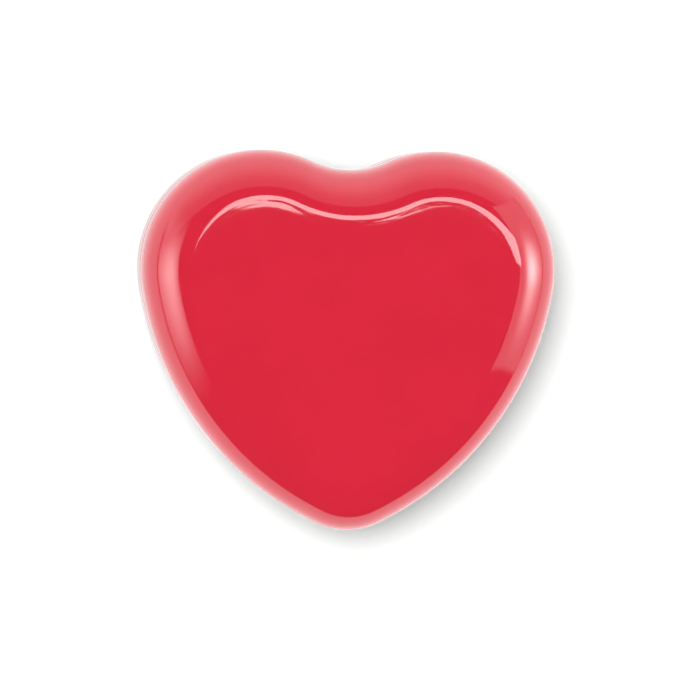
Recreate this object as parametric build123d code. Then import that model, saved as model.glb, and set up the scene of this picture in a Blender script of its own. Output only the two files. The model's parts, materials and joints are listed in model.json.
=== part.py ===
from build123d import *
import math
import os

# Heart-shaped candle tin: a drawn tinplate lid that slips over the neck of a drawn tinplate base, and a
# candle poured into the base. The closed tin stands on its base. The origin is the centre of its footprint,
# +Z is up, and the heart's tip points along -Y. All sizes are in millimetres.

# ---- Driving dimensions ----------------------------------------------------------------------------------
LID_WIDTH = 66.0  # across the two lobes, outside the lid's skirt
LID_LENGTH = 60.4  # from the tip to the tops of the lobes
TIP_RADIUS = 11.4
FLANK_RADIUS = 50.0
LOBE_RADIUS = 19.0
CLEFT_RADIUS = 14.4
SHEET = 0.25  # tinplate thickness of the lid and the base
TIN_HEIGHT = 23.0  # closed, from the table to the top of the lid

SHOULDER_RADIUS = 7.8  # outside, from the lid's flat top round to its skirt
CURL_RADIUS = 0.55  # outside, of the curled raw edges
LID_EDGE_HEIGHT = 11.6  # underside of the lid's curled edge
LID_SEAT_GAP = 0.08  # between the lid's curled edge and the ledge it stands on
NECK_CLEARANCE = 0.15  # all round, between the lid's curl and the neck

BODY_PROUD = 0.0  # how far the base stands out past the lid's skirt: the two are flush
NECK_TOP_HEIGHT = 18.0  # top of the neck's curled rim
LEDGE_BEND_RADIUS = 0.45  # mid-sheet, of the two bends of the ledge
BOTTOM_RADIUS = 3.0  # outside, from the standing ring up to the wall
RING_WIDTH = 2.0  # flat part of the standing ring
PANEL_RISE = 0.5  # of the bottom panel above the table
PANEL_BEND_DEGREES = 45.0

WAX_GAP = 0.05  # the wax shrinks this far from the tin as it sets
WAX_HEIGHT = 13.5  # fill level above the table
WICK_Y = 3.0  # the wick stands at the middle of the pool
WICK_RADIUS = 1.05
WICK_STAND = 6.0  # length of wick above the wax
PAD_RADIUS = 5.8
PAD_THICKNESS = 0.8
CLIP_SHEET = 0.3
CLIP_RADIUS = 6.25
CLIP_TUBE_RADIUS = 1.4  # outside
CLIP_TUBE_HEIGHT = 4.2
CLIP_BEND_RADIUS = 0.6  # mid-sheet, from the disc up into the tube

# ---- Worked out from the sizes above ---------------------------------------------------------------------
HALF_SHEET = SHEET / 2
NECK_OFFSET = -(2 * CURL_RADIUS + NECK_CLEARANCE)
LEDGE_HEIGHT = LID_EDGE_HEIGHT - LID_SEAT_GAP
PANEL_TOP = PANEL_RISE + SHEET
CURL_TURN = 285.0
FULL_CIRCLE = 360.0


class Arc:
    """One arc of the heart's outline. A bulging arc has the heart on its own side of the curve."""

    def __init__(self, centre, radius, start, sweep, bulging=True):
        self.centre = centre
        self.radius = radius
        self.start = start
        self.sweep = sweep
        self.bulging = bulging

    def radius_at(self, offset):
        """Radius of the outline moved outwards by offset."""
        return self.radius + offset if self.bulging else self.radius - offset

    def edge(self, offset):
        return CenterArc(self.centre, self.radius_at(offset), self.start, self.sweep)

    def section_plane(self):
        """Upright plane at the arc's start: local X runs out from its centre and local Y is up."""
        turn = math.radians(self.start)
        out = (math.cos(turn), math.sin(turn), 0)
        side = (math.sin(turn), -math.cos(turn), 0)
        return Plane(origin=(*self.centre, 0), x_dir=out, z_dir=side)

    def axis(self):
        return Axis((*self.centre, 0), (0, 0, 1))


def direction(tail, head):
    """Degrees of the line from tail to head."""
    return math.degrees(math.atan2(head[1] - tail[1], head[0] - tail[0]))


def enclosing_centre(small, small_radius, other, other_radius, radius):
    """Centre of the circle of that radius that holds both circles, on the left of the line between them."""
    reach, other_reach = radius - small_radius, radius - other_radius
    span = math.dist(small, other)
    along = (reach**2 - other_reach**2 + span**2) / (2 * span)
    across = math.sqrt(reach**2 - along**2)
    unit = ((other[0] - small[0]) / span, (other[1] - small[1]) / span)
    return (small[0] + along * unit[0] - across * unit[1], small[1] + along * unit[1] + across * unit[0])


def heart_outline():
    """The six tangent arcs of the outline: tip, flank, lobe, cleft, lobe, flank."""
    tip = (0.0, TIP_RADIUS - LID_LENGTH / 2)
    lobe = (LID_WIDTH / 2 - LOBE_RADIUS, LID_LENGTH / 2 - LOBE_RADIUS)
    flank = enclosing_centre(tip, TIP_RADIUS, lobe, LOBE_RADIUS, FLANK_RADIUS)
    cleft = (0.0, lobe[1] + math.sqrt((LOBE_RADIUS + CLEFT_RADIUS) ** 2 - lobe[0] ** 2))
    tip_end = direction(flank, tip)
    flank_end = direction(flank, lobe)
    lobe_end = direction(lobe, cleft)
    cleft_end = direction(cleft, lobe)
    arcs = [Arc(tip, TIP_RADIUS, -180 - tip_end, 180 + 2 * tip_end)]
    arcs.append(Arc(cleft, CLEFT_RADIUS, -180 - cleft_end, 180 + 2 * cleft_end, bulging=False))
    for centre, radius, start, end in (
        (flank, FLANK_RADIUS, tip_end, flank_end),
        (lobe, LOBE_RADIUS, flank_end, lobe_end),
    ):
        arcs.append(Arc(centre, radius, start, end - start))
        arcs.append(Arc((-centre[0], centre[1]), radius, 180 - end, end - start))
    return arcs


OUTLINE = heart_outline()


def heart_plate(offset, bottom, top):
    """Flat heart between two heights, its outline moved outwards by offset."""
    face = Face(Wire([arc.edge(offset) for arc in OUTLINE]))
    return Pos(0, 0, bottom) * extrude(face, top - bottom, dir=(0, 0, 1))


class SheetPath:
    """Middle line of a bent sheet, in a section: across, and up. It is drawn forwards from its start."""

    def __init__(self, across, up):
        self.at = (across, up)
        self.heading = 0.0
        self.runs = []

    def straight(self, length):
        turn = math.radians(self.heading)
        end = (self.at[0] + length * math.cos(turn), self.at[1] + length * math.sin(turn))
        self.runs.append((self.at, end, self.heading))
        self.at = end
        return self

    def bend(self, radius, degrees):
        """Bends the sheet round a circle: a positive turn is to the left."""
        hand = math.copysign(1, degrees)
        turn = math.radians(self.heading)
        centre = (self.at[0] - hand * radius * math.sin(turn), self.at[1] + hand * radius * math.cos(turn))
        self.runs.append((centre, radius, hand, self.heading, degrees))
        self.heading += degrees
        turn = math.radians(self.heading)
        self.at = (centre[0] + hand * radius * math.sin(turn), centre[1] - hand * radius * math.cos(turn))
        return self

    def side(self, distance):
        """Points of the line that far to the left of the middle: (end,), or (middle, end) of an arc."""
        moves = []
        for run in self.runs:
            if len(run) == 3:
                start, end, heading = run
                turn = math.radians(heading)
                shift = (-distance * math.sin(turn), distance * math.cos(turn))
                points = [(p[0] + shift[0], p[1] + shift[1]) for p in (start, end)]
            else:
                centre, radius, hand, heading, degrees = run
                reach = hand * radius - distance
                turns = [math.radians(heading + part * degrees) for part in (0, 0.5, 1)]
                points = [(centre[0] + reach * math.sin(a), centre[1] - reach * math.cos(a)) for a in turns]
            moves.append(points)
        return moves

    def strip(self):
        """The sheet's whole section as a closed ring of runs."""
        back = [points[::-1] for points in reversed(self.side(-HALF_SHEET))]
        return closed([*self.side(HALF_SHEET), *back])


def closed(runs):
    """Adds the straight lines that join each run to the next and the last to the first."""
    ring = []
    for run, following in zip(runs, [*runs[1:], runs[0]]):
        ring.append(run)
        if math.dist(run[-1], following[0]) > 1e-9:
            ring.append([run[-1], following[0]])
    return ring


def section_face(ring, across=lambda value: value):
    """Face inside a closed ring of runs, with each point's across value mapped by the function."""
    edges = []
    for run in ring:
        points = [(across(p[0]), p[1]) for p in run]
        edges.append(Line(*points) if len(points) == 2 else ThreePointArc(*points))
    return Face(Wire(edges))


def rim(ring):
    """Carries a section round the heart's outline. The section's across value is its outward offset."""
    pieces = []
    for arc in OUTLINE:
        face = arc.section_plane() * section_face(ring, arc.radius_at)
        pieces.append(revolve(face, arc.axis(), arc.sweep))
    return pieces


def joined(pieces):
    """One solid from pieces that meet face to face."""
    return pieces[0].fuse(*pieces[1:]).clean().solid()


def turned(ring):
    """Solid of revolution about the wick from a section of radius and height."""
    face = Plane.XZ * section_face(ring)
    return Pos(0, WICK_Y, 0) * revolve(face, Axis.Z, FULL_CIRCLE)


def disc(radius, bottom, top):
    """Round solid about the wick between two heights."""
    return Pos(0, WICK_Y, (bottom + top) / 2) * Cylinder(radius, top - bottom)


# ---- The two tins ----------------------------------------------------------------------------------------
def lid():
    """Flat top, quarter-round shoulder and short skirt, whose raw edge is curled inwards."""
    skirt = TIN_HEIGHT - SHOULDER_RADIUS - (LID_EDGE_HEIGHT + CURL_RADIUS)
    path = SheetPath(-SHOULDER_RADIUS, TIN_HEIGHT - HALF_SHEET)
    path.bend(SHOULDER_RADIUS - HALF_SHEET, -90)
    path.straight(skirt)
    path.bend(CURL_RADIUS - HALF_SHEET, -CURL_TURN)
    top = heart_plate(-SHOULDER_RADIUS, TIN_HEIGHT - SHEET, TIN_HEIGHT)
    return joined([top, *rim(path.strip())])


def panel_bend():
    """Radius and run of the two equal bends that lift the bottom panel."""
    turn = math.radians(PANEL_BEND_DEGREES)
    radius = PANEL_RISE / (2 * (1 - math.cos(turn)))
    return radius, 2 * radius * math.sin(turn)


def base_path(neck):
    """Mid-sheet line of the base from its bottom panel out and up to a neck of that straight length."""
    bend_radius, bend_run = panel_bend()
    panel_edge = BODY_PROUD - BOTTOM_RADIUS - RING_WIDTH - bend_run
    wall = LEDGE_HEIGHT - HALF_SHEET - LEDGE_BEND_RADIUS - BOTTOM_RADIUS
    ledge = BODY_PROUD - NECK_OFFSET - 2 * LEDGE_BEND_RADIUS
    path = SheetPath(panel_edge, PANEL_RISE + HALF_SHEET)
    path.bend(bend_radius, -PANEL_BEND_DEGREES)
    path.bend(bend_radius, PANEL_BEND_DEGREES)
    path.straight(RING_WIDTH)
    path.bend(BOTTOM_RADIUS - HALF_SHEET, 90)
    path.straight(wall)
    path.bend(LEDGE_BEND_RADIUS, 90)
    path.straight(ledge)
    path.bend(LEDGE_BEND_RADIUS, -90)
    path.straight(neck)
    return path, panel_edge


def neck_start():
    """Height at which the neck's straight wall begins."""
    return LEDGE_HEIGHT - HALF_SHEET + LEDGE_BEND_RADIUS


def base():
    """Raised bottom panel, standing ring, wall, ledge for the lid, and neck with its edge curled inwards."""
    path, panel_edge = base_path(NECK_TOP_HEIGHT - CURL_RADIUS - neck_start())
    path.bend(CURL_RADIUS - HALF_SHEET, CURL_TURN)
    panel = heart_plate(panel_edge, PANEL_RISE, PANEL_TOP)
    return joined([panel, *rim(path.strip())])


# ---- The candle ------------------------------------------------------------------------------------------
def adhesive_pad():
    return disc(PAD_RADIUS, PANEL_TOP, PANEL_TOP + PAD_THICKNESS)


def clip_runs(filled):
    """Section of the wick clip, or with filled, of everything out to its outer surface."""
    bottom = PANEL_TOP + PAD_THICKNESS
    bend_centre = CLIP_TUBE_RADIUS - CLIP_SHEET / 2 + CLIP_BEND_RADIUS
    path = SheetPath(-CLIP_RADIUS, bottom + CLIP_SHEET / 2)
    path.straight(CLIP_RADIUS - bend_centre)
    path.bend(CLIP_BEND_RADIUS, 90)
    path.straight(CLIP_TUBE_HEIGHT - CLIP_SHEET / 2 - CLIP_BEND_RADIUS)
    outside = path.side(CLIP_SHEET / 2)
    if filled:
        top = outside[-1][-1][1]
        axis = [[(0.0, top), (0.0, bottom)], [(0.0, bottom), (-CLIP_RADIUS, bottom)]]
        return closed([*outside, *axis])
    back = [points[::-1] for points in reversed(path.side(-CLIP_SHEET / 2))]
    return closed([*outside, *back])


def wick_clip():
    """Pressed disc with a tube that grips the foot of the wick."""
    return turned(clip_runs(filled=False))


def wick():
    """Waxed cotton wick, from the clip's foot to its trimmed top."""
    return disc(WICK_RADIUS, PANEL_TOP + PAD_THICKNESS, WAX_HEIGHT + WICK_STAND)


def wax():
    """The poured candle: the shape of the base's inside, set round the wick, its clip and the pad."""
    path, panel_edge = base_path(WAX_HEIGHT - neck_start())
    outside = path.side(HALF_SHEET + WAX_GAP)
    bottom = PANEL_TOP + WAX_GAP
    middle = [[(panel_edge, WAX_HEIGHT), (panel_edge, bottom)]]
    block = joined([heart_plate(panel_edge, bottom, WAX_HEIGHT), *rim(closed([*outside, *middle]))])
    return block - turned(clip_runs(filled=True)) - adhesive_pad() - wick()


def main():
    os.makedirs("parts", exist_ok=True)
    nodes = {
        "lid": lid(),
        "base": base(),
        "wax": wax(),
        "wick": wick(),
        "wick_clip": wick_clip(),
        "adhesive_pad": adhesive_pad(),
    }
    for name, shape in nodes.items():
        export_step(shape, f"parts/{name}.step")
        print(name, round(shape.volume, 1), shape.bounding_box().size)


if __name__ == "__main__":
    main()
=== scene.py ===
import json
import logging
import math
from dataclasses import dataclass, field
from enum import Enum
from typing import Any, Callable, Sequence

import bmesh
import bpy
import numpy as np
from mathutils import Matrix, Vector, noise

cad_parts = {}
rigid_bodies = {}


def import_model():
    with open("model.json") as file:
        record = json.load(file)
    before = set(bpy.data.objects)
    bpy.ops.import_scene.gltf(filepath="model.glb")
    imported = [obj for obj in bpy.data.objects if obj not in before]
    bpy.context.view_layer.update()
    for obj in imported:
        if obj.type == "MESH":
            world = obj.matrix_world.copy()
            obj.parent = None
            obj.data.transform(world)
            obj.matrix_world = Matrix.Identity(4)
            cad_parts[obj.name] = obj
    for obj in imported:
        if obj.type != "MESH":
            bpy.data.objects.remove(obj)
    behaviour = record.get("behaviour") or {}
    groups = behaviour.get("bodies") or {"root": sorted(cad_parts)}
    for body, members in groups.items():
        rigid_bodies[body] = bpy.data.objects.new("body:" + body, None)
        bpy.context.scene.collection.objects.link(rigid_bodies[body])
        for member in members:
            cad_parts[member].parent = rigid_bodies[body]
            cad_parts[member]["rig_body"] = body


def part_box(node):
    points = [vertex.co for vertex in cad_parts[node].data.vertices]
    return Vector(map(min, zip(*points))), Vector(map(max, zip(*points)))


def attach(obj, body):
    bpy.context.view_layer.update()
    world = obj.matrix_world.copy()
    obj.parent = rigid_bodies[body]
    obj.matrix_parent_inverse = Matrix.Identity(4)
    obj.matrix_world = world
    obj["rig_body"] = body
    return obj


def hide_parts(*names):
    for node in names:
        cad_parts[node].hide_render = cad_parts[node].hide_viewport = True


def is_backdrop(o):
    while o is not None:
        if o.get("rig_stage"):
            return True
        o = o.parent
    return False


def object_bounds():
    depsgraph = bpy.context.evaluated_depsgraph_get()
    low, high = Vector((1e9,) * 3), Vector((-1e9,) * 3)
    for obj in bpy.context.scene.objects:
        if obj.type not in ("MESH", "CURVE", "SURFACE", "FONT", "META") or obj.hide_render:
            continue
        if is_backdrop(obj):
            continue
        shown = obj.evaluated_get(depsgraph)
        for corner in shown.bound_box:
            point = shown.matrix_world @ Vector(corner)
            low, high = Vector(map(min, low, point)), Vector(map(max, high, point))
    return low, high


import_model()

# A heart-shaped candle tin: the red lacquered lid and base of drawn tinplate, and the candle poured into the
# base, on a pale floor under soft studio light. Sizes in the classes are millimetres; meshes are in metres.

CAD_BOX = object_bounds()
MM = 0.001
FULL_TURN = 2 * math.pi
WEAR = "wear"  # name of the mesh attribute that holds how far the finish is rubbed

# A Mix node's sockets for numbers and for colours have the same names, so they are known by their places.
SHARE = 0
NUMBER_A, NUMBER_B = 2, 3
COLOUR_A, COLOUR_B = 6, 7
MIXED_COLOUR = 2
LOG = logging.getLogger("candle_tin")


class Body(Enum):
    """The two bodies that the tin comes apart into."""

    TIN = "tin"
    LID = "lid"


class Side(Enum):
    """Which side of a sheet's middle line a surface is on, looking along the line."""

    LEFT = 1
    RIGHT = -1


class Grade(Enum):
    """How finely a sheet's skin is divided; the value picks from each pair of steps or parts."""

    FINE = 0
    COARSE = 1


class Lit(Enum):
    """What a lamp is flagged to light; the value names the collection that it reaches."""

    TIN = "lit_tin"
    BOARD = "lit_board"


# ---- Helpers ---------------------------------------------------------------------------------------------
def box_mm(node: str) -> tuple[np.ndarray, np.ndarray]:
    """Lowest and highest corners of a CAD node, in millimetres."""
    low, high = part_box(node)
    return np.array(low) / MM, np.array(high) / MM


def smooth_step(value: np.ndarray, start: float, end: float) -> np.ndarray:
    """Rises smoothly from 0 at start to 1 at end."""
    share = np.clip((value - start) / (end - start), 0.0, 1.0)
    return share * share * (3 - 2 * share)


def band(value: np.ndarray, rise: tuple[float, float], fall: tuple[float, float]) -> np.ndarray:
    """Rises smoothly from 0 to 1 over one range, and falls back to 0 over another."""
    return smooth_step(value, *rise) * (1 - smooth_step(value, *fall))


def waves(points: np.ndarray, size: float, seed: float, octaves: int = 2) -> np.ndarray:
    """Smooth noise between about -1 and 1.

    Args:
        points: Places in millimetres, three numbers each.
        size: Width of one wave in millimetres.
        seed: Moves the pattern, so that two surfaces differ.
        octaves: Layers of noise, each half as wide as the one before.

    Returns:
        One value for each point.
    """
    values = []
    for x, y, z in points:
        place = Vector((x / size + seed, y / size - seed, z / size + 2 * seed))
        values.append(noise.fractal(place, 1.0, 2.0, octaves))
    return np.array(values)


def circle(
    middle: tuple[float, float], radius: float | np.ndarray, height: float, turns: np.ndarray
) -> np.ndarray:
    """Points round an upright line.

    Args:
        middle: Where the line stands.
        radius: Distance from the line, one for all points or one for each.
        height: Height of the points.
        turns: Direction of each point from the line, in radians.

    Returns:
        The points, one row each.
    """
    x = middle[0] + radius * np.cos(turns)
    y = middle[1] + radius * np.sin(turns)
    return np.column_stack([x, y, np.full(len(turns), height)])


def linear(colour: str) -> tuple[float, float, float, float]:
    """Turns an sRGB colour to a linear one.

    Args:
        colour: The colour in hex, such as #C02036.

    Returns:
        Linear red, green and blue, and an alpha of 1.
    """
    channels = [int(colour[start : start + 2], 16) / 255 for start in (1, 3, 5)]
    turned = [c / 12.92 if c <= 0.04045 else ((c + 0.055) / 1.055) ** 2.4 for c in channels]
    return (*turned, 1.0)


def per_metre(size: float) -> float:
    """Scale that makes one feature of a pattern that many millimetres wide."""
    return 1 / (size * MM)


def feed(tree: bpy.types.NodeTree, node: bpy.types.Node, inputs: dict[Any, Any]) -> None:
    """Links or sets a node's inputs.

    Args:
        tree: The tree that the node is in.
        node: The node.
        inputs: Another node's output, or a plain value, for each input, by its name or number.
    """
    for name, value in inputs.items():
        if isinstance(value, bpy.types.NodeSocket):
            tree.links.new(value, node.inputs[name])
        else:
            node.inputs[name].default_value = value


def add_node(
    tree: bpy.types.NodeTree, kind: str, inputs: dict[Any, Any] | None = None, **settings: Any
) -> bpy.types.Node:
    """Adds a node with its settings and links.

    Args:
        tree: Node tree that takes the node.
        kind: The node's type, without the word ShaderNode.
        inputs: A value or another node's output for each input, by its name or number.
        settings: Properties of the node.

    Returns:
        The new node.
    """
    made = tree.nodes.new("ShaderNode" + kind)
    for name, value in settings.items():
        setattr(made, name, value)
    feed(tree, made, inputs or {})
    return made


# ---- Finishes --------------------------------------------------------------------------------------------
@dataclass(frozen=True)
class Finish:
    """What every finish shares: a material with one shader, which the finish then sets up.

    Widths and depths of patterns are millimetres. A pair is a range that a pattern moves between.
    """

    name: str = "finish"

    def material(self) -> bpy.types.Material:
        """Makes the finish's material, once.

        Returns:
            The material, with its shader set up.
        """
        made = bpy.data.materials.get(self.name)
        if made:
            return made
        made = bpy.data.materials.new(self.name)
        made.use_nodes = True
        tree = made.node_tree
        tree.nodes.clear()
        shader = add_node(tree, "BsdfPrincipled")
        add_node(tree, "OutputMaterial", {"Surface": shader.outputs["BSDF"]})
        self.dress(tree, shader)
        return made

    def dress(self, tree: bpy.types.NodeTree, shader: bpy.types.Node) -> None:
        """Sets the shader up; each finish has its own."""
        raise NotImplementedError


@dataclass(frozen=True)
class RedLacquer(Finish):
    """Stoving lacquer rolled on to tinplate before it is drawn: one even, deep red with a hard gloss."""

    name: str = "red_lacquer_on_tinplate"
    red: str = "#C12136"
    deep_red: str = "#B81D2F"
    bare: str = "#C9C6BE"
    cloud: float = 9.0  # width of the faint clouds left by handling and wiping
    gloss: tuple[float, float] = (0.022, 0.04)  # roughness, from the clear parts to the clouds
    peel: float = 1.3  # the lacquer levels out to a very slight orange peel
    peel_depth: float = 0.0008
    scuff: float = 0.5  # width of the scuffs where the raw edge and the standing ring rub
    scuff_edge: tuple[float, float] = (0.36, 0.46)  # from whole lacquer to bare metal
    bare_roughness: float = 0.32
    ior: float = 1.58

    def dress(self, tree: bpy.types.NodeTree, shader: bpy.types.Node) -> None:
        """Sets up the gloss, its faint clouds and peel, and the bare metal where the sheet rubs.

        Args:
            tree: The material's nodes.
            shader: Its shader.
        """
        place = add_node(tree, "TexCoord").outputs["Object"]
        cloud = add_node(tree, "TexNoise", {"Vector": place, "Scale": per_metre(self.cloud), "Detail": 3.0})
        scuff = add_node(tree, "TexNoise", {"Vector": place, "Scale": per_metre(self.scuff), "Detail": 4.0})
        peel = add_node(tree, "TexNoise", {"Vector": place, "Scale": per_metre(self.peel), "Detail": 2.0})
        rubbed = add_node(tree, "Attribute", attribute_name=WEAR)
        worn = add_node(
            tree, "Math", {0: rubbed.outputs["Fac"], 1: scuff.outputs["Fac"]}, operation="MULTIPLY"
        )
        low, high = self.scuff_edge
        bare = add_node(tree, "MapRange", {"Value": worn.outputs[0], "From Min": low, "From Max": high})
        red = add_node(
            tree,
            "Mix",
            {SHARE: cloud.outputs["Fac"], COLOUR_A: linear(self.red), COLOUR_B: linear(self.deep_red)},
            data_type="RGBA",
        )
        colour = add_node(
            tree,
            "Mix",
            {SHARE: bare.outputs[0], COLOUR_A: red.outputs[MIXED_COLOUR], COLOUR_B: linear(self.bare)},
            data_type="RGBA",
        )
        low, high = self.gloss
        gloss = add_node(
            tree,
            "MapRange",
            {"Value": cloud.outputs["Fac"], "From Min": 0.35, "From Max": 0.7, "To Min": low, "To Max": high},
        )
        rough = add_node(
            tree,
            "Mix",
            {SHARE: bare.outputs[0], NUMBER_A: gloss.outputs[0], NUMBER_B: self.bare_roughness},
            data_type="FLOAT",
        )
        bump = add_node(
            tree, "Bump", {"Height": peel.outputs["Fac"], "Strength": 1.0, "Distance": self.peel_depth * MM}
        )
        finish = {
            "Base Color": colour.outputs[MIXED_COLOUR],
            "Metallic": bare.outputs[0],
            "Roughness": rough.outputs[0],
            "Normal": bump.outputs["Normal"],
            "IOR": self.ior,
        }
        feed(tree, shader, finish)


@dataclass(frozen=True)
class BareTinplate(Finish):
    """Tin-coated steel straight from the rolling mill: a soft silver shine with fine lines along the roll."""

    name: str = "bare_rolled_tinplate"
    bright: str = "#D3D0C8"
    dull: str = "#B9B6AE"
    line: float = 0.22  # the mill's lines are finer than this, and are drawn wider so that they show
    line_length: float = 14.0
    line_depth: float = 0.0012
    bloom: float = 6.0  # clouds in the tin coating
    roughness: tuple[float, float] = (0.2, 0.34)

    def dress(self, tree: bpy.types.NodeTree, shader: bpy.types.Node) -> None:
        """Sets up the metal, its rolling lines and the clouds in its coating.

        Args:
            tree: The material's nodes.
            shader: Its shader.
        """
        place = add_node(tree, "TexCoord").outputs["Object"]
        across = per_metre(self.line)
        roll = (across, per_metre(self.line_length), across)
        along = add_node(tree, "Mapping", {"Vector": place, "Scale": roll})
        lines = add_node(tree, "TexNoise", {"Vector": along.outputs[0], "Scale": 1.0, "Detail": 3.0})
        bloom = add_node(tree, "TexNoise", {"Vector": place, "Scale": per_metre(self.bloom), "Detail": 4.0})
        colour = add_node(
            tree,
            "Mix",
            {SHARE: bloom.outputs["Fac"], COLOUR_A: linear(self.bright), COLOUR_B: linear(self.dull)},
            data_type="RGBA",
        )
        both = add_node(
            tree, "Math", {0: lines.outputs["Fac"], 1: bloom.outputs["Fac"]}, operation="ADD"
        )
        low, high = self.roughness
        rough = add_node(
            tree,
            "MapRange",
            {"Value": both.outputs[0], "From Min": 0.7, "From Max": 1.3, "To Min": low, "To Max": high},
        )
        bump = add_node(
            tree, "Bump", {"Height": lines.outputs["Fac"], "Strength": 1.0, "Distance": self.line_depth * MM}
        )
        finish = {
            "Base Color": colour.outputs[MIXED_COLOUR],
            "Roughness": rough.outputs[0],
            "Normal": bump.outputs["Normal"],
            "Metallic": 1.0,
        }
        feed(tree, shader, finish)


@dataclass(frozen=True)
class CandleWax(Finish):
    """Container wax poured hot and left to set: milky and slightly translucent, with frosted patches."""

    name: str = "poured_candle_wax"
    cream: str = "#FEF0D8"
    frost: str = "#FEF3E0"
    patch: float = 5.0  # width of the frosted patches
    roughness: tuple[float, float] = (0.3, 0.48)  # from the clear wax to the frost
    swell: float = 3.5  # the surface heaves a little as it sets
    swell_depth: float = 0.12
    crystal: float = 0.35  # wax crystals are finer than this, and are drawn wider so that they show
    crystal_depth: float = 0.008
    pit: float = 0.9  # between the small pits that bubbles leave
    pit_depth: float = 0.03
    ior: float = 1.44
    translucency: float = 0.7
    depth_of_light: float = 2.0  # how far light wanders inside the wax
    light_reach: tuple[float, float, float] = (1.0, 0.8, 0.55)  # red wanders furthest, blue least

    def dress(self, tree: bpy.types.NodeTree, shader: bpy.types.Node) -> None:
        """Sets up the milky body, the frosted patches and the set surface.

        Args:
            tree: The material's nodes.
            shader: Its shader.
        """
        place = add_node(tree, "TexCoord").outputs["Object"]
        patch = add_node(tree, "TexNoise", {"Vector": place, "Scale": per_metre(self.patch), "Detail": 5.0})
        swell = add_node(tree, "TexNoise", {"Vector": place, "Scale": per_metre(self.swell), "Detail": 2.0})
        crystal = add_node(
            tree, "TexNoise", {"Vector": place, "Scale": per_metre(self.crystal), "Detail": 2.0}
        )
        pit = add_node(tree, "TexVoronoi", {"Vector": place, "Scale": per_metre(self.pit)}, feature="F1")
        frost = add_node(
            tree,
            "MapRange",
            {"Value": patch.outputs["Fac"], "From Min": 0.45, "From Max": 0.65},
            interpolation_type="SMOOTHSTEP",
        )
        colour = add_node(
            tree,
            "Mix",
            {SHARE: frost.outputs[0], COLOUR_A: linear(self.cream), COLOUR_B: linear(self.frost)},
            data_type="RGBA",
        )
        low, high = self.roughness
        rough = add_node(tree, "MapRange", {"Value": frost.outputs[0], "To Min": low, "To Max": high})
        dimple = add_node(
            tree,
            "MapRange",
            {"Value": pit.outputs["Distance"], "From Min": 0.0, "From Max": 0.16},
            interpolation_type="SMOOTHSTEP",
        )
        layers = (
            (swell.outputs["Fac"], self.swell_depth),
            (crystal.outputs["Fac"], self.crystal_depth),
            (dimple.outputs[0], self.pit_depth),
        )
        bump = None
        for height, depth in layers:
            inputs = {"Height": height, "Strength": 1.0, "Distance": depth * MM}
            if bump is not None:
                inputs["Normal"] = bump.outputs["Normal"]
            bump = add_node(tree, "Bump", inputs)
        finish = {
            "Base Color": colour.outputs[MIXED_COLOUR],
            "Roughness": rough.outputs[0],
            "Normal": bump.outputs["Normal"],
            "IOR": self.ior,
            "Subsurface Weight": self.translucency,
            "Subsurface Radius": self.light_reach,
            "Subsurface Scale": self.depth_of_light * MM,
        }
        feed(tree, shader, finish)


@dataclass(frozen=True)
class WaxedCotton(Finish):
    """Bleached cotton yarn, braided and dipped in wax: off-white fibres under a thin dull coat."""

    name: str = "waxed_braided_cotton"
    yarn: str = "#EDE5D2"
    # painted shade: the darker colour given to the low places between the fibres
    painted_groove_shade: str = "#CFC4A8"
    fibre: float = 0.09  # cotton fibres are about a fifth of this, and are drawn wider so that they show
    fibre_depth: float = 0.02
    soak: float = 1.6  # width of the parts that took up more wax
    roughness: tuple[float, float] = (0.5, 0.8)
    fuzz: float = 0.15
    ior: float = 1.46

    def dress(self, tree: bpy.types.NodeTree, shader: bpy.types.Node) -> None:
        """Sets up the fibres, with painted shade in the low places between them, and the wax that they took
        up.

        Args:
            tree: The material's nodes.
            shader: Its shader.
        """
        place = add_node(tree, "TexCoord").outputs["Object"]
        across = per_metre(self.fibre)
        along = add_node(tree, "Mapping", {"Vector": place, "Scale": (across, across, across / 4)})
        fibre = add_node(tree, "TexNoise", {"Vector": along.outputs[0], "Scale": 1.0, "Detail": 3.0})
        soak = add_node(tree, "TexNoise", {"Vector": place, "Scale": per_metre(self.soak), "Detail": 3.0})
        both = add_node(
            tree, "Math", {0: fibre.outputs["Fac"], 1: soak.outputs["Fac"]}, operation="MULTIPLY"
        )
        # The yarn's colour is painted shade where the fibres' bumps are low, and it also varies with how much
        # wax soaked in.
        share = add_node(tree, "MapRange", {"Value": both.outputs[0], "From Min": 0.12, "From Max": 0.38})
        colour = add_node(
            tree,
            "Mix",
            {SHARE: share.outputs[0], COLOUR_A: linear(self.painted_groove_shade), COLOUR_B: linear(self.yarn)},
            data_type="RGBA",
        )
        low, high = self.roughness
        rough = add_node(
            tree, "MapRange", {"Value": soak.outputs["Fac"], "From Min": 0.3, "To Min": low, "To Max": high}
        )
        bump = add_node(
            tree, "Bump", {"Height": fibre.outputs["Fac"], "Strength": 1.0, "Distance": self.fibre_depth * MM}
        )
        finish = {
            "Base Color": colour.outputs[MIXED_COLOUR],
            "Roughness": rough.outputs[0],
            "Normal": bump.outputs["Normal"],
            "IOR": self.ior,
            "Sheen Weight": self.fuzz,
        }
        feed(tree, shader, finish)


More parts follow.
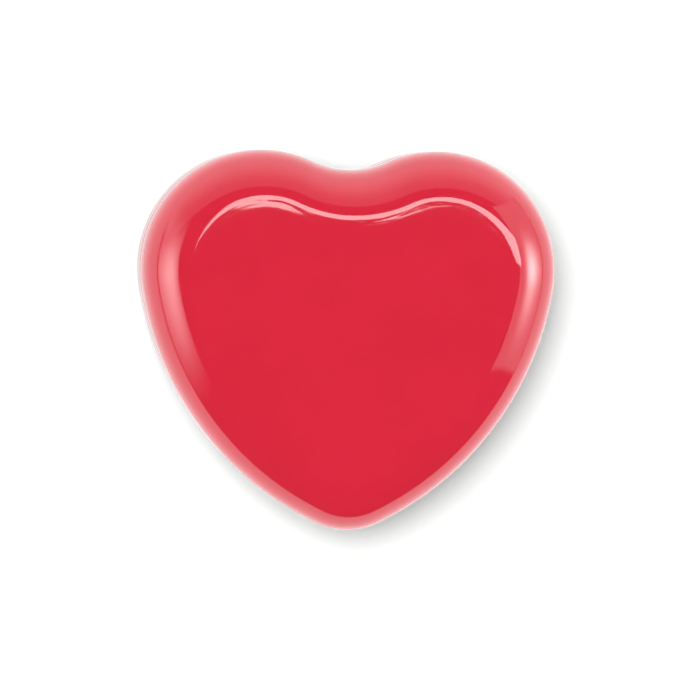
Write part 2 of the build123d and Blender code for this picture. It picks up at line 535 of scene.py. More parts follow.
@dataclass(frozen=True)
class AdhesiveFoam(Finish):
    """Closed-cell polyethylene foam tape, cut by a die: matt and off-white, with cut cells on its edge."""

    name: str = "adhesive_foam_tape"
    foam: str = "#E4E3DE"
    # painted shade: the darker colour given to the hollow middle of each cell
    painted_cell_shade: str = "#C9C8C2"
    cell: float = 0.28
    cell_depth: float = 0.05
    roughness: tuple[float, float] = (0.75, 0.9)
    ior: float = 1.5

    def dress(self, tree: bpy.types.NodeTree, shader: bpy.types.Node) -> None:
        """Sets up the foam's cells, with painted shade in their hollows.

        Args:
            tree: The material's nodes.
            shader: Its shader.
        """
        place = add_node(tree, "TexCoord").outputs["Object"]
        cell = add_node(tree, "TexVoronoi", {"Vector": place, "Scale": per_metre(self.cell)}, feature="F1")
        wall = add_node(tree, "MapRange", {"Value": cell.outputs["Distance"], "To Max": 1.0, "From Max": 0.8})
        # Painted shade: each cell is coloured darker towards its middle, where its bump is lowest.
        colour = add_node(
            tree,
            "Mix",
            {SHARE: wall.outputs[0], COLOUR_A: linear(self.painted_cell_shade), COLOUR_B: linear(self.foam)},
            data_type="RGBA",
        )
        low, high = self.roughness
        rough = add_node(tree, "MapRange", {"Value": wall.outputs[0], "To Min": low, "To Max": high})
        bump = add_node(
            tree, "Bump", {"Height": wall.outputs[0], "Strength": 1.0, "Distance": self.cell_depth * MM}
        )
        finish = {
            "Base Color": colour.outputs[MIXED_COLOUR],
            "Roughness": rough.outputs[0],
            "Normal": bump.outputs["Normal"],
            "IOR": self.ior,
        }
        feed(tree, shader, finish)


@dataclass(frozen=True)
class PaleFloor(Finish):
    """Matt white studio board: nearly white, with no shine and a faint tooth."""

    name: str = "white_studio_board"
    white: str = "#F8F8F7"
    off_white: str = "#F5F5F4"
    tooth: float = 0.7
    roughness: float = 0.95

    def dress(self, tree: bpy.types.NodeTree, shader: bpy.types.Node) -> None:
        """Sets up the board.

        Args:
            tree: The material's nodes.
            shader: Its shader.
        """
        place = add_node(tree, "TexCoord").outputs["Object"]
        tooth = add_node(tree, "TexNoise", {"Vector": place, "Scale": per_metre(self.tooth), "Detail": 2.0})
        colour = add_node(
            tree,
            "Mix",
            {SHARE: tooth.outputs["Fac"], COLOUR_A: linear(self.white), COLOUR_B: linear(self.off_white)},
            data_type="RGBA",
        )
        finish = {
            "Base Color": colour.outputs[MIXED_COLOUR],
            "Roughness": self.roughness,
            "Specular IOR Level": 0.0,
        }
        feed(tree, shader, finish)


# ---- Building meshes -------------------------------------------------------------------------------------
class Surface:
    """Collects points and the faces between them, and makes one mesh object of them."""

    def __init__(self) -> None:
        """Starts with no points and no faces."""
        self.points: list[np.ndarray] = []
        self.wear: list[np.ndarray] = []
        self.faces: list[np.ndarray] = []
        self.slots: list[np.ndarray] = []
        self.count = 0

    def add(self, points: np.ndarray, wear: float | np.ndarray = 0.0) -> np.ndarray:
        """Adds points.

        Args:
            points: Their places in millimetres, one row each.
            wear: How far the finish is rubbed there, from 0 to 1.

        Returns:
            The points' numbers.
        """
        made = np.arange(self.count, self.count + len(points))
        self.points.append(points)
        self.wear.append(np.broadcast_to(wear, len(points)))
        self.count += len(points)
        return made

    def quads(self, corners: Sequence[np.ndarray], slot: int = 0) -> None:
        """Adds faces of four corners each.

        Args:
            corners: Four rows of point numbers.
            slot: Material slot of the faces.
        """
        made = np.stack([np.ravel(corner) for corner in corners], axis=1)
        self.faces.append(made)
        self.slots.append(np.full(len(made), slot))

    def bridge(self, ring: np.ndarray, following: np.ndarray, slot: int = 0) -> None:
        """Joins two closed rings that have the same number of points."""
        self.quads((ring, np.roll(ring, -1), np.roll(following, -1), following), slot)

    def skin(self, rings: Sequence[np.ndarray], slot: int = 0, closed: bool = False) -> None:
        """Joins each ring to the next.

        Args:
            rings: The rings' point numbers, in order.
            slot: Material slot of the faces.
            closed: Whether the last ring is joined to the first.
        """
        for number, ring in enumerate(rings[1:], 1):
            self.bridge(rings[number - 1], ring, slot)
        if closed:
            self.bridge(rings[-1], rings[0], slot)

    def fill(self, ring: np.ndarray, shape: Callable[[np.ndarray], np.ndarray], slot: int = 0) -> None:
        """Fills a closed ring with a grid of quads, whose four sides are quarters of the ring.

        Args:
            ring: The ring's point numbers, a multiple of eight of them.
            shape: Gives the heights of the grid's own points from their places on the ring's level.
            slot: Material slot of the faces.
        """
        known = np.concatenate(self.points)
        side = len(ring) // 4
        # The four sides start half a side before the ring does, so that the tip is the middle of a side.
        start = np.roll(ring, side // 2)
        low = start[: side + 1]
        right = start[side : 2 * side + 1]
        high = start[2 * side : 3 * side + 1][::-1]
        left = np.append(start[3 * side :], start[0])[::-1]
        across = np.linspace(0, 1, side + 1)[:, None, None]
        up = np.linspace(0, 1, side + 1)[None, :, None]
        at_low, at_high, at_left, at_right = (known[line] for line in (low, high, left, right))
        # Each grid point is what two opposite sides give, plus what the other two give, less the corners.
        grid = (1 - up) * at_low[:, None] + up * at_high[:, None]
        grid = grid + (1 - across) * at_left[None] + across * at_right[None]
        for share, corner in ((1 - across, 0), (across, -1)):
            grid = grid - share * ((1 - up) * at_low[corner] + up * at_high[corner])
        inner = grid[1:-1, 1:-1].reshape(-1, 3)
        numbers = np.zeros((side + 1, side + 1), int)
        numbers[:, 0] = low
        numbers[:, -1] = high
        numbers[0, :] = left
        numbers[-1, :] = right
        numbers[1:-1, 1:-1] = self.add(shape(inner)).reshape(side - 1, side - 1)
        self.quads((numbers[:-1, :-1], numbers[1:, :-1], numbers[1:, 1:], numbers[:-1, 1:]), slot)

    def close(self, ring: np.ndarray, lift: float = 0.0, slot: int = 0) -> None:
        """Closes a small ring with triangles to its middle.

        Args:
            ring: The ring's point numbers.
            lift: How far the middle stands above the ring, in millimetres.
            slot: Material slot of the faces.
        """
        known = np.concatenate(self.points)
        middle = known[ring].mean(axis=0) + (0, 0, lift)
        centre = self.add(middle[None])
        spread = np.full(len(ring), centre[0])
        self.quads((ring, np.roll(ring, -1), spread, spread), slot)

    def piece(self, name: str, finishes: Sequence[Finish], crease: float = 40.0) -> bpy.types.Object:
        """Makes the mesh object.

        Args:
            name: The piece's name.
            finishes: One finish for each material slot.
            crease: Edges sharper than this many degrees stay sharp.

        Returns:
            The object, linked to the scene.
        """
        mesh = bpy.data.meshes.new(name)
        # A face that names a corner twice is a triangle.
        faces = [list(dict.fromkeys(face)) for face in np.concatenate(self.faces).tolist()]
        mesh.from_pydata((np.concatenate(self.points) * MM).tolist(), [], faces)
        mesh.polygons.foreach_set("material_index", np.concatenate(self.slots))
        rubbed = mesh.attributes.new(WEAR, "FLOAT", "POINT")
        rubbed.data.foreach_set("value", np.concatenate(self.wear).astype(np.float32))
        work = bmesh.new()
        work.from_mesh(mesh)
        bmesh.ops.recalc_face_normals(work, faces=work.faces)
        work.to_mesh(mesh)
        work.free()
        mesh.shade_smooth()
        mesh.set_sharp_from_angle(angle=math.radians(crease))
        for finish in finishes:
            mesh.materials.append(finish.material())
        made = bpy.data.objects.new(name, mesh)
        bpy.context.scene.collection.objects.link(made)
        return made


@dataclass(frozen=True)
class Arc:
    """One arc of the heart's outline. A hollow arc has the heart outside its circle."""

    centre: tuple[float, float]
    radius: float
    start: float  # direction of its start from the centre, in degrees
    end: float
    hollow: bool = False
    turn_weight: float = 6.0  # millimetres of length that a radian of turn counts for

    def weight(self) -> float:
        """Share of stations that the arc is given: by its length, and more where it turns."""
        turn = math.radians(abs(self.end - self.start))
        return self.radius * turn + self.turn_weight * turn

    def stations(self, parts: int) -> tuple[np.ndarray, np.ndarray]:
        """Divides the arc.

        Args:
            parts: How many equal parts.

        Returns:
            The points at the start of each part, and the outward direction at each.
        """
        turns = np.radians(np.linspace(self.start, self.end, parts + 1))[:-1]
        out = np.stack([np.cos(turns), np.sin(turns)], axis=1)
        return np.array(self.centre) + self.radius * out, -out if self.hollow else out

    def depth(self, points: np.ndarray) -> np.ndarray:
        """How far points lie inside the arc.

        Args:
            points: Places in millimetres, two numbers each.

        Returns:
            The distance of each from the arc, or a large number where it isn't beside the arc.
        """
        from_centre = points - np.array(self.centre)
        reach = np.hypot(from_centre[:, 0], from_centre[:, 1])
        turns = np.degrees(np.arctan2(from_centre[:, 1], from_centre[:, 0]))
        low, high = sorted((self.start, self.end))
        beside = (turns >= low - 1e-6) & (turns <= high + 1e-6)
        inside = reach - self.radius if self.hollow else self.radius - reach
        return np.where(beside, inside, 1e6)


@dataclass
class HeartOutline:
    """The heart that the lid and the base are drawn to, outside the lid's skirt."""

    width: float
    length: float
    tip_radius: float = 11.4
    flank_radius: float = 50.0
    lobe_radius: float = 19.0
    cleft_radius: float = 14.4
    count: int = 480  # stations round the whole outline, a multiple of eight
    points: np.ndarray = field(init=False)
    outward: np.ndarray = field(init=False)

    def __post_init__(self) -> None:
        """Lays the stations out once, from the tip round the right half and back down the left."""
        arcs = self.half_arcs()
        half = self.count // 2
        total = sum(arc.weight() for arc in arcs)
        ends = np.cumsum([arc.weight() for arc in arcs]) / total * half
        steps = np.diff(np.concatenate([[0], np.round(ends)])).astype(int)
        parts = [arc.stations(step) for arc, step in zip(arcs, steps)]
        points = np.concatenate([part[0] for part in parts] + [[[0, self.cleft_bottom()]]])
        outward = np.concatenate([part[1] for part in parts] + [[[0, 1]]])
        mirror = np.array([-1, 1])
        self.points = np.concatenate([points, points[-2:0:-1] * mirror])
        self.outward = np.concatenate([outward, outward[-2:0:-1] * mirror])

    def lobe_centre(self) -> tuple[float, float]:
        """Centre of the right lobe's circle."""
        return (self.width / 2 - self.lobe_radius, self.length / 2 - self.lobe_radius)

    def cleft_centre(self) -> tuple[float, float]:
        """Works out the cleft's circle, which touches both lobes' circles.

        Returns:
            Its centre.
        """
        lobe = self.lobe_centre()
        rise = math.sqrt((self.lobe_radius + self.cleft_radius) ** 2 - lobe[0] ** 2)
        return (0.0, lobe[1] + rise)

    def cleft_bottom(self) -> float:
        """Where the bottom of the cleft is."""
        return self.cleft_centre()[1] - self.cleft_radius

    def half_arcs(self) -> list[Arc]:
        """Works out the right half's tangent arcs.

        Returns:
            The tip's half, the flank, the lobe and the cleft's half.
        """
        tip = (0.0, self.tip_radius - self.length / 2)
        lobe = self.lobe_centre()
        cleft = self.cleft_centre()
        # The flank's centre is where two circles about the tip and the lobe cross.
        reach = self.flank_radius - self.tip_radius
        other = self.flank_radius - self.lobe_radius
        span = math.dist(tip, lobe)
        along = (reach**2 - other**2 + span**2) / (2 * span)
        across = math.sqrt(reach**2 - along**2)
        step = ((lobe[0] - tip[0]) / span, (lobe[1] - tip[1]) / span)
        flank = (tip[0] + along * step[0] - across * step[1], tip[1] + along * step[1] + across * step[0])

        def degrees(tail: tuple[float, float], head: tuple[float, float]) -> float:
            """Direction from tail to head."""
            return math.degrees(math.atan2(head[1] - tail[1], head[0] - tail[0]))

        tip_end, flank_end, lobe_end = degrees(flank, tip), degrees(flank, lobe), degrees(lobe, cleft)
        return [
            Arc(tip, self.tip_radius, -90.0, tip_end),
            Arc(flank, self.flank_radius, tip_end, flank_end),
            Arc(lobe, self.lobe_radius, flank_end, lobe_end),
            Arc(cleft, self.cleft_radius, degrees(cleft, lobe), -90.0, hollow=True),
        ]

    def ring(self, offset: float, height: float) -> np.ndarray:
        """Points of the outline moved outwards by offset, at a height."""
        flat = self.points + offset * self.outward
        return np.column_stack([flat, np.full(len(flat), height)])

    def depth(self, points: np.ndarray) -> np.ndarray:
        """How far points lie inside the outline.

        Args:
            points: Places in millimetres; only the first two numbers of each count.

        Returns:
            The distance of each from the outline.
        """
        folded = np.column_stack([np.abs(points[:, 0]), points[:, 1]])
        return np.min([arc.depth(folded) for arc in self.half_arcs()], axis=0)


class SheetLine:
    """Middle line of a bent sheet in section: outward offset and height, drawn forwards from its start."""

    def __init__(self, offset: float, height: float, half_sheet: float) -> None:
        """Starts the line, heading outwards.

        Args:
            offset: Start's offset from the outline.
            height: Start's height.
            half_sheet: Half the sheet's thickness.
        """
        self.half_sheet = half_sheet
        self.heading = 0.0
        self.places = [(offset, height)]
        self.headings = [0.0]

    def straight(self, length: float, parts: int = 1) -> "SheetLine":
        """Runs straight on.

        Args:
            length: How far.
            parts: How many equal parts the run is divided into.

        Returns:
            The line itself.
        """
        turn = math.radians(self.heading)
        start = self.places[-1]
        for part in range(1, parts + 1):
            run = length * part / parts
            self.places.append((start[0] + run * math.cos(turn), start[1] + run * math.sin(turn)))
            self.headings.append(self.heading)
        return self

    def bend(self, radius: float, degrees: float, step: float) -> "SheetLine":
        """Bends round a circle.

        Args:
            radius: The bend's radius at the middle of the sheet.
            degrees: How far it turns; a positive turn is to the left.
            step: Largest turn between two points.

        Returns:
            The line itself.
        """
        hand = math.copysign(1, degrees)
        turn = math.radians(self.heading)
        start = self.places[-1]
        centre = (start[0] - hand * radius * math.sin(turn), start[1] + hand * radius * math.cos(turn))
        parts = max(1, math.ceil(abs(degrees) / step))
        for part in range(1, parts + 1):
            heading = self.heading + degrees * part / parts
            turn = math.radians(heading)
            place = (centre[0] + hand * radius * math.sin(turn), centre[1] - hand * radius * math.cos(turn))
            self.places.append(place)
            self.headings.append(heading)
        self.heading += degrees
        return self

    def side(self, side: Side, extra: float = 0.0) -> np.ndarray:
        """The sheet's surface on one side.

        Args:
            side: Which side.
            extra: Moves the line that much further from the sheet.

        Returns:
            Rows of offset, height and heading in degrees.
        """
        turns = np.radians(self.headings)
        normal = np.stack([-np.sin(turns), np.cos(turns)], axis=1) * side.value
        places = np.array(self.places) + normal * (self.half_sheet + extra)
        return np.column_stack([places, self.headings])


# ---- The tin ---------------------------------------------------------------------------------------------
@dataclass
class SlipLid:
    """Lid of drawn tinplate: flat top, quarter-round shoulder and a short skirt with a curled raw edge."""

    outline: HeartOutline
    sheet: float = 0.25
    shoulder: float = 7.8  # outside radius
    curl: float = 0.55  # outside radius
    curl_turn: float = 285.0
    crown: float = 0.010  # the rim of the top is drawn down this much, and the middle springs up
    crown_width: float = 1.6
    crown_patch: float = 13.0  # more in some places round the rim than in others
    ripple: float = 0.0022  # the sheet puckers a little where the top turns into the shoulder
    ripple_size: float = 2.4
    ripple_rise: tuple[float, float] = (6.2, 7.6)  # how far inside the outline the puckers begin
    ripple_fall: tuple[float, float] = (8.2, 10.5)  # and end
    streak: float = 0.0040  # the drawing tool's edge leaves fine streaks there, along the rim
    streak_width: float = 0.42
    streak_length: float = 4.5
    streak_patch: float = 7.0
    streak_rise: tuple[float, float] = (7.0, 7.7)
    streak_fall: tuple[float, float] = (7.9, 8.9)
    edge_band: float = 2.4  # width of the band that is divided finely enough for the streaks
    edge_rings: int = 20
    wave: float = 0.005  # the rest of the top is never quite flat either
    wave_size: float = 19.0
    wave_rise: tuple[float, float] = (5.0, 12.0)
    rubbed: float = 0.55  # wear of the raw edge, which slides on the neck
    shoulder_steps: tuple[float, float] = (2.0, 7.5)  # degrees between rings, fine and coarse
    curl_steps: tuple[float, float] = (11.0, 19.0)
    skirt_parts: tuple[int, int] = (3, 2)

    def line(self, grade: Grade) -> SheetLine:
        """Middle line of the sheet from the edge of the flat top to the raw edge.

        Args:
            grade: How finely it is divided.

        Returns:
            The line.
        """
        low, high = box_mm("lid")
        half = self.sheet / 2
        skirt = high[2] - self.shoulder - (low[2] + self.curl)
        line = SheetLine(-self.shoulder, high[2] - half, half)
        line.bend(self.shoulder - half, -90.0, self.shoulder_steps[grade.value])
        line.straight(skirt, self.skirt_parts[grade.value])
        return line.bend(self.curl - half, -self.curl_turn, self.curl_steps[grade.value])

    def settle(self, points: np.ndarray) -> np.ndarray:
        """How far the top has sunk below the drawing tool's shape.

        Args:
            points: Places in millimetres.

        Returns:
            Millimetres at each point, none below 0.
        """
        depth = self.outline.depth(points)
        edge = self.shoulder - 0.2
        rim = band(depth, (self.shoulder - 3.0, edge), (edge, self.shoulder + self.crown_width))
        patches = np.clip(0.45 + 1.3 * waves(points, self.crown_patch, 31.7, 1), 0.0, 1.4)
        sunk = self.crown * rim * patches
        pucker = band(depth, self.ripple_rise, self.ripple_fall)
        sunk = sunk + self.ripple * pucker * (1 + waves(points, self.ripple_size, 4.1, 3))
        sunk = sunk + self.streak * self.streaks(points, depth)
        top = smooth_step(depth, *self.wave_rise)
        sunk = sunk + self.wave * top * (1 + waves(points, self.wave_size, 9.7, 1))
        return np.maximum(sunk, 0.0)

    def streaks(self, points: np.ndarray, depth: np.ndarray) -> np.ndarray:
        """Height of the streaks along the rim, as a share of the deepest one.

        Args:
            points: Places in millimetres.
            depth: How far inside the outline each one lies.

        Returns:
            One value for each point, none below 0.
        """
        mean_radius = 0.4 * self.outline.width
        along = mean_radius * np.arctan2(points[:, 1], points[:, 0])
        flow = np.column_stack([depth / self.streak_width, along / self.streak_length, 0 * depth])
        reach = band(depth, self.streak_rise, self.streak_fall)
        strength = np.clip(0.7 + 1.2 * waves(points, self.streak_patch, 17.3, 1), 0.15, 1.5)
        return reach * strength * (1 + waves(flow, 1.0, 5.9, 3))

    def sink(self, points: np.ndarray) -> np.ndarray:
        """Lowers points of the top by how far it has sunk there.

        Args:
            points: Places in millimetres.

        Returns:
            The lowered points.
        """
        moved = points.copy()
        moved[:, 2] -= self.settle(points)
        return moved

    def build(self) -> bpy.types.Object:
        """Builds the lid.

        Returns:
            The lid, in place.
        """
        surface = Surface()
        outside = self.line(Grade.FINE).side(Side.LEFT)
        inside = self.line(Grade.COARSE).side(Side.RIGHT)
        insets = np.linspace(self.edge_band, 0, self.edge_rings, endpoint=False)
        rim = [(outside[0][0] - inset, outside[0][1], 0.0) for inset in insets]
        outer = [self.ring(surface, *row) for row in (*rim, *outside)]
        inner = [self.ring(surface, *row) for row in inside]
        surface.skin(outer)
        surface.bridge(outer[-1], inner[-1], 1)
        surface.skin(inner, 1)
        surface.fill(outer[0], self.level(outside[0][1]))
        surface.fill(inner[0], self.level(inside[0][1]), 1)
        piece = surface.piece("lid_shell", (RedLacquer(), BareTinplate()))
        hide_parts("lid")
        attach(piece, Body.LID.value)
        return piece

    def level(self, height: float) -> Callable[[np.ndarray], np.ndarray]:
        """Gives the way to fill one side of the top.

        Args:
            height: Height of that side before it sinks.

        Returns:
            A function that puts points at that height and sinks them as the top has sunk.
        """

        def shape(points: np.ndarray) -> np.ndarray:
            """Places points of the flat top."""
            flat = np.column_stack([points[:, :2], np.full(len(points), height)])
            return self.sink(flat)

        return shape

    def ring(self, surface: Surface, offset: float, height: float, heading: float) -> np.ndarray:
        """Adds one ring of the lid's skin.

        Args:
            surface: Takes the points.
            offset: Offset from the outline.
            height: Height of the ring.
            heading: The sheet's heading there, in degrees.

        Returns:
            The ring's point numbers.
        """
        points = self.outline.ring(offset, height)
        on_top = heading > -60
        on_curl = heading < -150
        if on_top:
            points = self.sink(points)
        return surface.add(points, self.rubbed if on_curl else 0.0)


@dataclass
class DrawnBase:
    """Base of drawn tinplate: raised panel, standing ring, wall, ledge for the lid, and curled neck."""

    outline: HeartOutline
    sheet: float = 0.25
    proud: float = 0.0  # the wall is flush with the lid's skirt
    corner: float = 3.0  # outside radius, from the standing ring up to the wall
    ring_width: float = 2.0
    panel_rise: float = 0.5
    panel_bend: float = 45.0
    ledge: float = 11.52  # top of the ledge
    ledge_bend: float = 0.45
    clearance: float = 0.15  # between the lid's curl and the neck
    curl: float = 0.55
    curl_turn: float = 285.0
    rubbed_ring: float = 0.75  # wear of the standing ring
    rubbed_curl: float = 0.5  # wear of the neck's curled rim, where the lid slides
    panel_steps: tuple[float, float] = (6.0, 9.0)  # degrees between rings, fine and coarse
    corner_steps: tuple[float, float] = (5.0, 9.0)
    ledge_steps: tuple[float, float] = (11.0, 15.0)
    curl_steps: tuple[float, float] = (13.0, 19.0)
    wall_parts: tuple[int, int] = (5, 3)
    short_parts: tuple[int, int] = (3, 2)  # of the standing ring and of the neck

    def line(self, grade: Grade, top: float | None = None) -> SheetLine:
        """Middle line of the sheet from the bottom panel's edge to the curl, or to a height on the neck.

        Args:
            grade: How finely it is divided.
            top: Height at which the line stops, or None for the curl.

        Returns:
            The line.
        """
        half = self.sheet / 2
        turn = math.radians(self.panel_bend)
        radius = self.panel_rise / (2 * (1 - math.cos(turn)))
        edge = self.proud - self.corner - self.ring_width - 2 * radius * math.sin(turn)
        neck = 2 * self.curl + self.clearance
        neck_low = self.ledge - half + self.ledge_bend
        rim = box_mm("base")[1][2] - self.curl
        line = SheetLine(edge, self.panel_rise + half, half)
        panel_step, corner_step = self.panel_steps[grade.value], self.corner_steps[grade.value]
        ledge_step, parts = self.ledge_steps[grade.value], self.short_parts[grade.value]
        line.bend(radius, -self.panel_bend, panel_step)
        line.bend(radius, self.panel_bend, panel_step)
        line.straight(self.ring_width, parts)
        line.bend(self.corner - half, 90.0, corner_step)
        line.straight(self.ledge - half - self.ledge_bend - self.corner, self.wall_parts[grade.value])
        line.bend(self.ledge_bend, 90.0, ledge_step)
        line.straight(self.proud + neck - 2 * self.ledge_bend)
        line.bend(self.ledge_bend, -90.0, ledge_step)
        if top is not None:
            return line.straight(top - neck_low, 2)
        line.straight(rim - neck_low, parts)
        return line.bend(self.curl - half, self.curl_turn, self.curl_steps[grade.value])

    def build(self) -> bpy.types.Object:
        """Builds the base.

        Returns:
            The base, in place.
        """
        surface = Surface()
        outside = self.line(Grade.FINE).side(Side.RIGHT)
        inside = self.line(Grade.COARSE).side(Side.LEFT)
        outer = [self.ring(surface, *row) for row in outside]
        inner = [self.ring(surface, *row) for row in inside]
        surface.skin(outer)
        surface.bridge(outer[-1], inner[-1], 1)
        surface.skin(inner, 1)
        surface.fill(outer[0], lambda points: points)
        surface.fill(inner[0], lambda points: points, 1)
        piece = surface.piece("base_shell", (RedLacquer(), BareTinplate()))
        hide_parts("base")
        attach(piece, Body.TIN.value)
        return piece

    def ring(self, surface: Surface, offset: float, height: float, heading: float) -> np.ndarray:
        """Adds one ring of the base's skin, rubbed where it stands and where the lid slides.

        Args:
            surface: Takes the points.
            offset: Offset from the outline.
            height: Height of the ring.
            heading: The sheet's heading there, in degrees.

        Returns:
            The ring's point numbers.
        """
        on_floor = height < 0.02
        on_curl = heading > 160
        rubbed = self.rubbed_curl if on_curl else self.rubbed_ring if on_floor else 0.0
        return surface.add(self.outline.ring(offset, height), rubbed)


# ---- The candle ------------------------------------------------------------------------------------------
@dataclass
class PouredCandle:
    """The wax as it set in the base, round the wick, the clip that holds it and the pad under the clip."""

    outline: HeartOutline
    base: DrawnBase
    wick_place: tuple[float, float]
    shrink: float = 0.05  # gap to the tin
    meniscus: float = 0.38  # how far the wax climbs the tin and the wick
    climb: float = 1.1  # width of the climb
    swell: float = 0.07
    swell_size: float = 9.0
    dish: float = 0.06  # how much lower the wax sets round the wick
    calm: float = 0.1  # how far the middle of the pool lies below the foot of the climb
    rings: int = 34

    def build(self) -> bpy.types.Object:
        """Builds the wax.

        Returns:
            The wax, in place.
        """
        low, high = box_mm("wax")
        surface = Surface()
        side = self.base.line(Grade.COARSE, top=high[2]).side(Side.LEFT, self.shrink)
        rings = [surface.add(self.outline.ring(offset, height)) for offset, height, _ in side]
        rings += self.pool(surface, side[-1][0], high[2])
        rings += [surface.add(self.round_ring(*row)) for row in self.pocket(low[2])]
        surface.skin(rings, closed=True)
        piece = surface.piece("poured_wax", (CandleWax(),))
        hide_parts("wax")
        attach(piece, Body.TIN.value)
        return piece

    def round_ring(self, radius: float, height: float) -> np.ndarray:
        """Ring about the wick, each point on the line from the wick to the outline's station.

        Args:
            radius: Distance from the middle of the wick.
            height: Height of the ring.

        Returns:
            The ring's points.
        """
        away = self.outline.points - np.array(self.wick_place)
        return circle(self.wick_place, radius, height, np.arctan2(away[:, 1], away[:, 0]))

    def pool(self, surface: Surface, wall_offset: float, top: float) -> list[np.ndarray]:
        """Adds the wax's top, from the neck in to the wick.

        Args:
            surface: Takes the points.
            wall_offset: Offset of the wax's side at the top.
            top: Height that the wax climbs to at the wall.

        Returns:
            The rings' point numbers.
        """
        wall = self.outline.ring(wall_offset, top)
        bore = self.round_ring(box_mm("wick")[1][0], top)
        made = []
        for number in range(1, self.rings):
            share = 0.5 - 0.5 * math.cos(math.pi * number / self.rings)
            points = (1 - share) * wall + share * bore
            from_wall = np.hypot(*(points - wall)[:, :2].T)
            from_wick = np.hypot(*(points - bore)[:, :2].T)
            climb = np.exp(-from_wall / self.climb * 2) + np.exp(-from_wick / self.climb * 2)
            calm = smooth_step(from_wall, 0.5, 4.0) * smooth_step(from_wick, 0.3, 3.0)
            swell = self.swell * calm * waves(points, self.swell_size, 2.3, 2)
            dish = self.dish * (1 - np.exp(-from_wick / 6.0)) * smooth_step(from_wall, 0.0, 5.0)
            level = top - self.meniscus * (1 - np.minimum(climb, 1.0)) - self.calm * calm + swell + dish
            points[:, 2] = np.minimum(level, top)
            made.append(surface.add(points))
        return made

    def pocket(self, bottom: float) -> list[tuple[float, float]]:
        """Radius and height of the hollow round the wick, its clip and the pad, from the top down.

        Args:
            bottom: Height of the wax's underside.

        Returns:
            The corners of the hollow's section.
        """
        wick = box_mm("wick")[1][0]
        clip_low, clip_high = box_mm("wick_clip")
        pad = box_mm("adhesive_pad")[1][0]
        tube = WickClip.tube_radius
        bend = WickClip.bend_radius - WickClip.sheet / 2
        foot = clip_low[2] + WickClip.sheet
        rows = [(wick, box_mm("wax")[1][2]), (wick, clip_high[2]), (tube, clip_high[2])]
        for turn in np.radians(np.linspace(0, 90, 6)):
            rows.append((tube + bend * (1 - math.cos(turn)), foot + bend * (1 - math.sin(turn))))
        rows += [(clip_high[0], foot), (clip_high[0], clip_low[2]), (pad, clip_low[2]), (pad, bottom)]
        return rows


